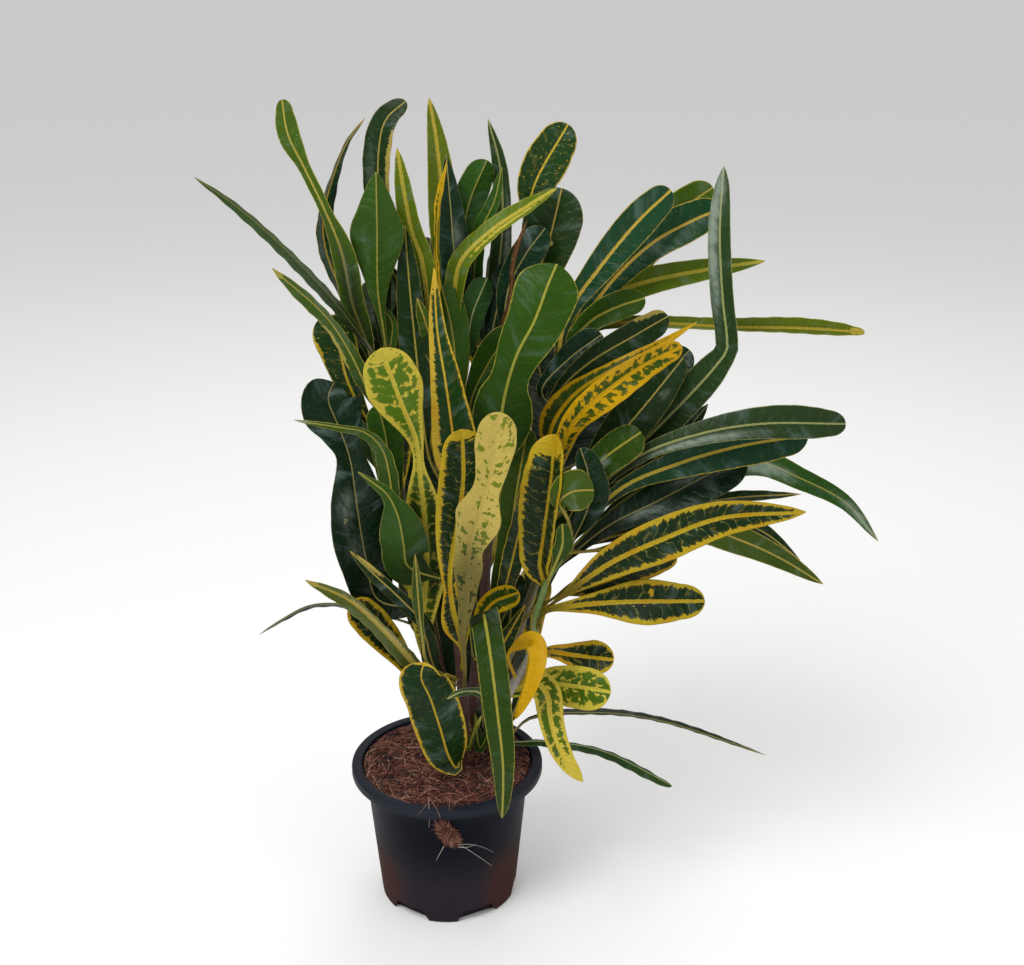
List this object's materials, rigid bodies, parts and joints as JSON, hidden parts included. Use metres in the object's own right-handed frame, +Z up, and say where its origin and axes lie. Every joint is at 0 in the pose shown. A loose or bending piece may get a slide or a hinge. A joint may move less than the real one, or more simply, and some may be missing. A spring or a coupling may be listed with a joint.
{
  "type": "potted croton",
  "caption": "Leafy house plant with long, waved, yellow-veined leaves on upright stems, standing in a round nursery pot filled with soil.",
  "frame": {"origin": "middle of the pot's flat underside", "axes": "+Z up along the pot's axis; -Y towards the viewer of the picture; +X to the viewer's right"},
  "size_m": [0.63, 0.3431, 0.8213],
  "materials": {
    "pot": "black moulded nursery plastic, faintly glossy, dusty near the foot",
    "soil": "reddish-brown coir fibre and soil",
    "leaf": "glossy, leathery dark green leaf with yellow midrib, veins and margin"
  },
  "bodies": {
    "root": {"pot": "pot", "soil": "soil", "stem_left": "leaf", "stem_middle": "leaf", "stem_centre": "leaf", "stem_right": "leaf", "stem_far_right": "leaf", "stem_front": "leaf"}
  },
  "joints": []
}
